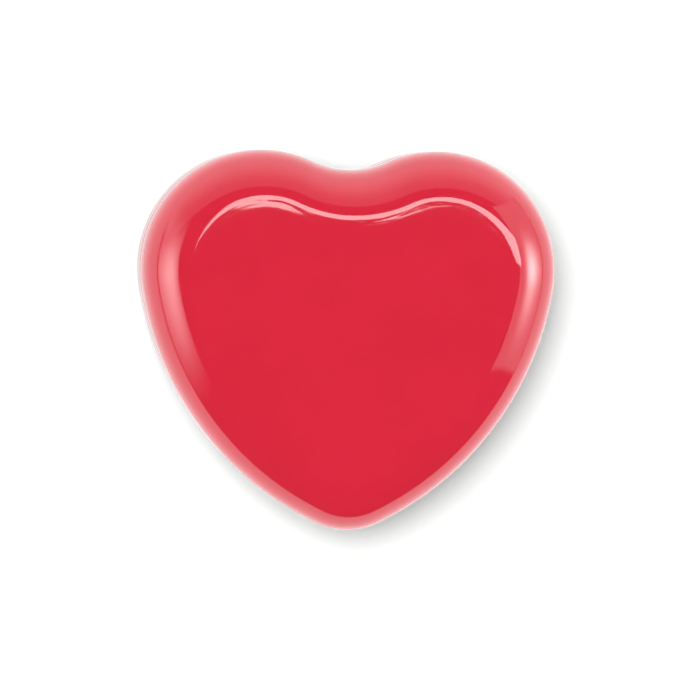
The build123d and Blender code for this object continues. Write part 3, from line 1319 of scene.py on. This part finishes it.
@dataclass
class BraidedWick:
    """Square-braided cotton wick: eight plied strands over a core, stiffened with wax and trimmed."""

    place: tuple[float, float]
    strands: int = 8
    braid_radius: float = 0.6
    weave: float = 0.11  # how far a strand moves in and out as it crosses the others
    strand_radius: float = 0.3
    pitch: float = 5.2  # height that a strand climbs in one turn
    plies: int = 3
    ply_twist: float = 3.0
    groove: float = 0.16  # depth of the grooves between plies, as a share of the radius
    core_strands: int = 3
    core_radius: float = 0.24
    core_reach: float = 0.2  # from the middle of the wick to the middle of a core strand
    core_twist: float = 0.5
    trim: float = 0.22  # how unevenly the scissors cut the strands
    lean: float = 0.22
    sides: int = 15
    step: float = 0.16

    def build(self) -> bpy.types.Object:
        """Builds the wick.

        Returns:
            The wick, in place.
        """
        low, high = box_mm("wick")
        surface = Surface()
        for number in range(self.strands):
            hand = 1 if number % 2 == 0 else -1
            start = FULL_TURN * (number // 2) / (self.strands // 2)
            trim = self.trim * (0.5 + 0.5 * math.sin(2.3 * number + 0.4))
            self.strand(surface, low[2], high[2] - trim, hand, start)
        for number in range(self.core_strands):
            self.core(surface, low[2], high[2] - 0.08 * number, FULL_TURN * number / self.core_strands)
        piece = surface.piece("braided_wick", (WaxedCotton(),), crease=60.0)
        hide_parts("wick")
        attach(piece, Body.TIN.value)
        return piece

    def axis(self, heights: np.ndarray) -> np.ndarray:
        """Middle of the wick, which leans a little above the wax.

        Args:
            heights: Heights in millimetres.

        Returns:
            The middle at each height.
        """
        low, high = box_mm("wick")
        wax = box_mm("wax")[1][2]
        share = np.clip((heights - wax) / (high[2] - wax), 0, 1) ** 2
        x = self.place[0] + self.lean * share * 0.6
        return np.column_stack([x, self.place[1] - self.lean * share, heights])

    def strand(self, surface: Surface, low: float, high: float, hand: int, start: float) -> None:
        """Adds one strand of the braid.

        Args:
            surface: Takes the strand.
            low: Height of its foot.
            high: Height of its cut end.
            hand: 1 for a strand that climbs to the left, -1 to the right.
            start: Where round the wick it begins, in radians.
        """
        heights = np.linspace(low, high, int((high - low) / self.step))
        speed = FULL_TURN / self.pitch
        turns = hand * speed * (heights - low) + start
        crossing = self.strands // 2 * speed * (heights - low)
        radius = self.braid_radius + hand * self.weave * np.cos(crossing)
        around = np.column_stack([radius * np.cos(turns), radius * np.sin(turns), 0 * turns])
        path = self.axis(heights) + around
        self.tube(surface, path, self.strand_radius, hand)

    def core(self, surface: Surface, low: float, high: float, start: float) -> None:
        """Adds one strand of the core, twisted with the others.

        Args:
            surface: Takes the strand.
            low: Height of its foot.
            high: Height of its cut end.
            start: Where round the middle it begins, in radians.
        """
        heights = np.linspace(low, high, int((high - low) / self.step / 2))
        turns = start + self.core_twist * (heights - low)
        around = np.column_stack([np.cos(turns), np.sin(turns), 0 * turns])
        path = self.axis(heights) + self.core_reach * around
        self.tube(surface, path, self.core_radius, 1)

    def tube(self, surface: Surface, path: np.ndarray, radius: float, hand: int) -> None:
        """Sweeps a plied strand along a path, with both ends closed.

        Args:
            surface: Takes the strand.
            path: Middle points of the strand, in millimetres.
            radius: The strand's radius over its plies.
            hand: Direction of its twist.
        """
        low, high = box_mm("wick")
        along = np.gradient(path, axis=0)
        along /= np.linalg.norm(along, axis=1)[:, None]
        out = path - self.axis(path[:, 2])
        out -= (out * along).sum(axis=1)[:, None] * along
        out /= np.linalg.norm(out, axis=1)[:, None]
        across = np.cross(along, out)
        turns = np.linspace(0, FULL_TURN, self.sides, endpoint=False)
        travelled = np.concatenate([[0], np.cumsum(np.linalg.norm(np.diff(path, axis=0), axis=1))])
        rings = []
        for number, middle in enumerate(path):
            ridge = np.abs(np.cos(self.plies / 2 * (turns + hand * travelled[number] * self.ply_twist)))
            reach = radius * (1 - self.groove + self.groove * ridge)
            ring = middle + reach[:, None] * (
                np.cos(turns)[:, None] * out[number] + np.sin(turns)[:, None] * across[number]
            )
            ring[:, 2] = np.clip(ring[:, 2], low[2], high[2])
            rings.append(surface.add(ring))
        surface.skin(rings)
        surface.close(rings[0])
        surface.close(rings[-1])


@dataclass
class WickClip:
    """Pressed tinplate disc, with a rib that stiffens it and a tube crimped round the wick's foot."""

    place: tuple[float, float]
    sheet: float = 0.3
    tube_radius: float = 1.4
    bend_radius: float = 0.6
    rib_radius: float = 4.1
    rib_width: float = 0.9
    rib_height: float = 0.14  # the rib is pressed up into the disc from below
    crimp: float = 0.045  # depth of the four pinches that grip the wick
    crimp_drop: float = 1.6  # from the top of the tube down to the pinches
    crimp_width: float = 0.6
    sides: int = 120

    def profile(self) -> np.ndarray:
        """Works out the clip's section.

        Returns:
            A closed ring of radius and height, in millimetres.
        """
        low, high = box_mm("wick_clip")
        rim = high[0] - self.place[0]
        foot = low[2]
        inner = self.tube_radius - self.sheet
        turns = np.radians(np.linspace(0, 90, 9))
        top_bend = self.bend_radius - self.sheet / 2
        low_bend = self.bend_radius + self.sheet / 2
        radii = np.linspace(rim, self.tube_radius + self.bend_radius, 40)
        rib = self.rib_height * np.exp(-(((radii - self.rib_radius) / self.rib_width * 2) ** 2))
        upper = np.column_stack([radii, np.full(len(radii), foot + self.sheet)])
        bend = np.column_stack(
            [
                self.tube_radius + top_bend * (1 - np.sin(turns)),
                foot + self.sheet + top_bend * (1 - np.cos(turns)),
            ]
        )
        outer = [(self.tube_radius, z) for z in np.linspace(foot + 1.2, high[2] - 0.05, 12)]
        mouth = [(self.tube_radius - 0.06, high[2]), (inner + 0.06, high[2])]
        bore = [(inner, z) for z in np.linspace(high[2] - 0.05, foot + 1.2, 12)]
        under = np.column_stack(
            [inner + low_bend * (1 - np.cos(turns)), foot + low_bend * (1 - np.sin(turns))]
        )
        lower = np.column_stack([radii[::-1], foot + rib[::-1]])
        return np.concatenate([upper, bend, outer, mouth, bore, under, lower])

    def build(self) -> bpy.types.Object:
        """Builds the clip.

        Returns:
            The clip, in place.
        """
        high = box_mm("wick_clip")[1][2]
        surface = Surface()
        turns = np.linspace(0, FULL_TURN, self.sides, endpoint=False)
        rings = []
        for radius, height in self.profile():
            bell = math.exp(-(((height - high + self.crimp_drop) / self.crimp_width) ** 2))
            pinch = self.crimp * bell * (0.5 + 0.5 * np.cos(4 * turns))
            on_tube = radius < self.tube_radius + 0.01
            reach = radius - (pinch if on_tube else 0)
            rings.append(surface.add(circle(self.place, reach, height, turns)))
        surface.skin(rings, closed=True)
        piece = surface.piece("crimped_wick_clip", (BareTinplate(),))
        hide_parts("wick_clip")
        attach(piece, Body.TIN.value)
        return piece


@dataclass
class AdhesivePad:
    """Die-cut disc of foam tape that holds the clip to the tin; its edge bulges under the clip."""

    place: tuple[float, float]
    bulge: float = 0.12
    sides: int = 120

    def build(self) -> bpy.types.Object:
        """Builds the pad.

        Returns:
            The pad, in place.
        """
        low, high = box_mm("adhesive_pad")
        radius = high[0] - self.place[0]
        flat = radius - self.bulge - 0.1
        middle = (low[2] + high[2]) / 2
        half = (high[2] - low[2]) / 2
        shares = (0.1, 0.4, 0.7, 0.9)
        rows = [(share * flat, low[2]) for share in shares]
        for turn in np.radians(np.linspace(-90, 90, 15)):
            rows.append((radius - self.bulge * (1 - math.cos(turn)), middle + half * math.sin(turn)))
        rows += [(share * flat, high[2]) for share in reversed(shares)]
        turns = np.linspace(0, FULL_TURN, self.sides, endpoint=False)
        surface = Surface()
        rings = [surface.add(circle(self.place, reach, height, turns)) for reach, height in rows]
        surface.skin(rings)
        surface.close(rings[0])
        surface.close(rings[-1])
        piece = surface.piece("foam_pad", (AdhesiveFoam(),))
        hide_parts("adhesive_pad")
        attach(piece, Body.TIN.value)
        return piece


# ---- The studio ------------------------------------------------------------------------------------------
@dataclass(frozen=True)
class SoftPanel:
    """A lit diffusing panel, so far off that only its direction counts.

    Its edges are slopes from the object: how far across, or up, for each unit of the way towards the panel.
    """

    facing: tuple[float, float, float]  # from the object to the panel
    across: tuple[float, float, float]
    upward: tuple[float, float, float]
    sides: tuple[float, float]
    ends: tuple[float, float]
    glow: float
    spot: float = 0.0  # what the lamp behind the panel adds in the middle of its spot
    spot_at: tuple[float, float] = (0.0, 0.0)
    spot_size: tuple[float, float] = (1.0, 1.0)
    side_edges: tuple[float, float] = (0.02, 0.02)  # half the width over which the light falls off
    end_edges: tuple[float, float] = (0.02, 0.02)

    def light(self, tree: bpy.types.NodeTree, direction: bpy.types.NodeSocket) -> bpy.types.NodeSocket:
        """Adds the nodes that give the panel's light in a direction.

        Args:
            tree: The world's nodes.
            direction: The direction looked in.

        Returns:
            The socket with its light.
        """

        def maths(operation: str, first: Any, second: Any = 0.0) -> bpy.types.NodeSocket:
            """One step of arithmetic."""
            return add_node(tree, "Math", {0: first, 1: second}, operation=operation).outputs[0]

        def along(axis: tuple[float, float, float]) -> bpy.types.NodeSocket:
            """How far the direction goes along an axis."""
            made = add_node(tree, "VectorMath", {0: direction, 1: axis}, operation="DOT_PRODUCT")
            return made.outputs["Value"]

        towards = along(self.facing)
        inside = maths("GREATER_THAN", towards, 0.001)
        far = maths("MAXIMUM", towards, 0.001)
        spread = None
        for axis, limits, edges, middle, size in (
            (self.across, self.sides, self.side_edges, self.spot_at[0], self.spot_size[0]),
            (self.upward, self.ends, self.end_edges, self.spot_at[1], self.spot_size[1]),
        ):
            slope = maths("DIVIDE", along(axis), far)
            for limit, edge, hand in zip(limits, edges, (1, -1)):
                step = add_node(
                    tree,
                    "MapRange",
                    {"Value": slope, "From Min": limit - hand * edge, "From Max": limit + hand * edge},
                    interpolation_type="SMOOTHSTEP",
                )
                inside = maths("MULTIPLY", inside, step.outputs[0])
            away = maths("DIVIDE", maths("SUBTRACT", slope, middle), size)
            squared = maths("MULTIPLY", away, away)
            spread = maths("ADD", spread, squared) if spread else squared
        spot = maths("EXPONENT", maths("MULTIPLY", spread, -1.0))
        bright = maths("ADD", maths("MULTIPLY", spot, self.spot), self.glow)
        return maths("MULTIPLY", bright, inside)


@dataclass(frozen=True)
class SoftLamp:
    """A large soft lamp that lights the matt surfaces; the panels are what the glossy ones show."""

    name: str
    towards: tuple[float, float, float]  # from the object to the lamp
    spread: float  # how wide it looks from the object, in degrees
    level: float  # brightness that it gives a white board lying flat
    lit: Lit = Lit.TIN

    def hang(self) -> None:
        """Adds the lamp to the scene."""
        towards = Vector(self.towards).normalized()
        data = bpy.data.lights.new(self.name, "SUN")
        data.angle = math.radians(self.spread)
        data.energy = self.level * math.pi / towards.z
        # No bounced ray meets the lamp, so it leaves no mirror image in the lacquer.
        data.cycles.use_multiple_importance_sampling = False
        lamp = bpy.data.objects.new(self.name, data)
        lamp.rotation_euler = towards.to_track_quat("Z", "Y").to_euler()
        lamp.visible_glossy = False
        lamp.visible_camera = False
        lamp.light_linking.receiver_collection = bpy.data.collections[self.lit.value]
        bpy.context.scene.collection.objects.link(lamp)


@dataclass
class Studio:
    """Pale floor, soft panels on three sides, overhead and below, soft lamps, and the camera above.

    The panels are all that the gloss shows, and the one below stands for the floor. The lamps light what is
    matt, with one set flagged for the tin and one for the floor.
    """

    panels: tuple[SoftPanel, ...] = (
        # On the right, with the lamp close behind it.
        SoftPanel(
            facing=(1, 0, 0),
            across=(0, 1, 0),
            upward=(0, 0, 1),
            sides=(-0.466, 0.84),
            ends=(0.03, 2.1),
            glow=1.3,
            spot=11.2,
            spot_at=(0.0, 0.68),
            spot_size=(0.22, 0.38),
        ),
        # On the left, with a weaker and wider spot and soft edges.
        SoftPanel(
            facing=(-1, 0, 0),
            across=(0, 1, 0),
            upward=(0, 0, 1),
            sides=(-0.62, 0.55),
            ends=(0.06, 1.56),
            glow=1.2,
            spot=5.2,
            spot_at=(-0.08, 0.76),
            spot_size=(0.34, 0.58),
            side_edges=(0.2, 0.3),
            end_edges=(0.08, 0.1),
        ),
        # Along the back, dim and low.
        SoftPanel(
            facing=(0, 1, 0),
            across=(1, 0, 0),
            upward=(0, 0, 1),
            sides=(-2.6, 1.19),
            ends=(-0.01, 1.73),
            glow=0.6,
            spot=1.1,
            spot_size=(3.0, 0.65),
            side_edges=(0.7, 0.02),
        ),
        # Overhead, the end of a strip light, from straight above to the right.
        SoftPanel(
            facing=(0, 0, 1),
            across=(1, 0, 0),
            upward=(0, 1, 0),
            sides=(0.0, 0.53),
            ends=(0.0, 0.15),
            glow=7.2,
            side_edges=(0.03, 0.012),
            end_edges=(0.004, 0.006),
        ),
        # Below, the floor: bright all over, and darker straight under the tin.
        SoftPanel(
            facing=(0, 0, -1),
            across=(1, 0, 0),
            upward=(0, 1, 0),
            sides=(-2000.0, 2000.0),
            ends=(-2000.0, 2000.0),
            glow=1.7,
            spot=-0.85,
            spot_size=(0.5, 0.5),
        ),
    )
    lamps: tuple[SoftLamp, ...] = (
        SoftLamp("softbox_overhead", (-0.06, 0.0, 1.0), 60.0, 0.68),
        SoftLamp("room", (0.0, 0.0, 1.0), 160.0, 0.17),
        SoftLamp("card_right", (1.0, 0.0, 0.35), 50.0, 0.18),
        SoftLamp("card_left", (-1.0, 0.0, 0.35), 50.0, 0.16),
        SoftLamp("card_front", (0.0, -1.0, 0.35), 50.0, 0.12),
        SoftLamp("card_back", (0.0, 1.0, 0.35), 50.0, 0.16),
        SoftLamp("softbox_over_the_board", (-0.22, 0.16, 1.0), 40.0, 1.22, Lit.BOARD),
        SoftLamp("room_over_the_board", (0.0, 0.0, 1.0), 170.0, 0.17, Lit.BOARD),
    )
    ambient: float = 0.095  # light that comes from everywhere between the panels
    floor_size: float = 6.0  # metres
    floor_gap: float = 0.01  # the floor lies this far under the standing ring
    lens: float = 200.0
    distance: float = 619.2  # from the camera to its aim
    aim_height: float = 15.0
    aim_shift: tuple[float, float] = (0.334, -1.484)  # from the middle of the tin to the aim
    tilt_left: float = 6.4  # degrees that the camera stands to the left of straight above
    tilt_back: float = 2.8
    roll: float = 0.594

    def build(self, pieces: Sequence[bpy.types.Object]) -> None:
        """Sets up the floor, the light and the camera.

        Args:
            pieces: The tin's pieces, which the tin's own lamps light.
        """
        for lit, objects in ((Lit.TIN, pieces), (Lit.BOARD, [self.lay_floor()])):
            reached = bpy.data.collections.new(lit.value)
            for made in objects:
                reached.objects.link(made)
        for piece in pieces:
            piece.visible_diffuse = False  # keeps a red glow from the tin off the white floor
        self.light()
        for lamp in self.lamps:
            lamp.hang()
        self.place_camera()
        bpy.context.scene.view_settings.view_transform = "Standard"

    def lay_floor(self) -> bpy.types.Object:
        """Lays the floor just under the standing ring.

        Returns:
            The floor, which the gloss doesn't show: the panel below stands for it there.
        """
        surface = Surface()
        low = CAD_BOX[0][2] / MM - self.floor_gap
        half = self.floor_size / MM / 2
        corners = [(-half, -half, low), (half, -half, low), (half, half, low), (-half, half, low)]
        numbers = surface.add(np.array(corners, float))
        surface.quads([numbers[k : k + 1] for k in range(4)])
        floor = surface.piece("floor", (PaleFloor(),))
        floor.visible_glossy = False
        floor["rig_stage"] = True
        return floor

    def light(self) -> None:
        """Sets the world up as the panels, with a plain white backdrop behind the object."""
        world = bpy.data.worlds.new("studio")
        bpy.context.scene.world = world
        world.use_nodes = True
        world.cycles_visibility.diffuse = False
        tree = world.node_tree
        tree.nodes.clear()
        direction = add_node(tree, "TexCoord").outputs["Generated"]
        total: Any = self.ambient
        for panel in self.panels:
            lit = panel.light(tree, direction)
            total = add_node(tree, "Math", {0: total, 1: lit}, operation="ADD").outputs[0]
        seen = add_node(tree, "LightPath").outputs["Is Camera Ray"]
        shown = add_node(tree, "Mix", {SHARE: seen, NUMBER_A: total, NUMBER_B: 1.0}, data_type="FLOAT")
        glow = add_node(tree, "Background", {"Color": (1, 1, 1, 1), "Strength": shown.outputs[0]})
        add_node(tree, "OutputWorld", {"Surface": glow.outputs[0]})

    def place_camera(self) -> None:
        """Places the camera high above the tin, a little to its left and back, with the tip at the bottom."""
        low, high = CAD_BOX
        middle = (low + high) / 2
        aim = Vector((middle.x, middle.y, low.z)) + MM * Vector((*self.aim_shift, self.aim_height))
        left = math.tan(math.radians(self.tilt_left))
        back = math.tan(math.radians(self.tilt_back))
        away = Vector((-left, back, 1.0)).normalized()
        right = Vector((0, 1, 0)).cross(away).normalized()
        up = away.cross(right)
        turn = math.radians(self.roll)
        right, up = math.cos(turn) * right + math.sin(turn) * up, math.cos(turn) * up - math.sin(turn) * right
        data = bpy.data.cameras.new("camera")
        data.lens = self.lens
        data.clip_start = 0.01
        camera = bpy.data.objects.new("camera", data)
        bpy.context.scene.collection.objects.link(camera)
        turned = Matrix((right, up, away)).transposed().to_4x4()
        camera.matrix_world = Matrix.Translation(aim + away * self.distance * MM) @ turned
        bpy.context.scene.camera = camera


def save_sizes() -> None:
    """Puts the CAD box and the visual model's box into plain lists of numbers, which are then thrown away."""
    boxes = {"cad": CAD_BOX, "visual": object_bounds()}
    {name: [list(corner) for corner in box] for name, box in boxes.items()}


def main() -> None:
    """Builds the tin, the candle and the studio in order, and reports each piece."""
    logging.basicConfig(level=logging.INFO, format="%(name)s: %(message)s")
    low, high = box_mm("lid")
    width, length = high[0] - low[0], high[1] - low[1]
    outline = HeartOutline(width, length)
    coarse = HeartOutline(width, length, count=240)  # the wax is softer and needs fewer stations
    wick_low, wick_high = box_mm("wick")
    place = ((wick_low[0] + wick_high[0]) / 2, (wick_low[1] + wick_high[1]) / 2)
    base = DrawnBase(outline)
    pieces = []
    for maker in (
        SlipLid(outline),
        base,
        PouredCandle(coarse, base, place),
        BraidedWick(place),
        WickClip(place),
        AdhesivePad(place),
    ):
        piece = maker.build()
        piece.data.calc_loop_triangles()
        LOG.info("%s: %d triangles, on %s", piece.name, len(piece.data.loop_triangles), piece["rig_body"])
        pieces.append(piece)
    Studio().build(pieces)
    save_sizes()


if __name__ == "__main__":
    main()
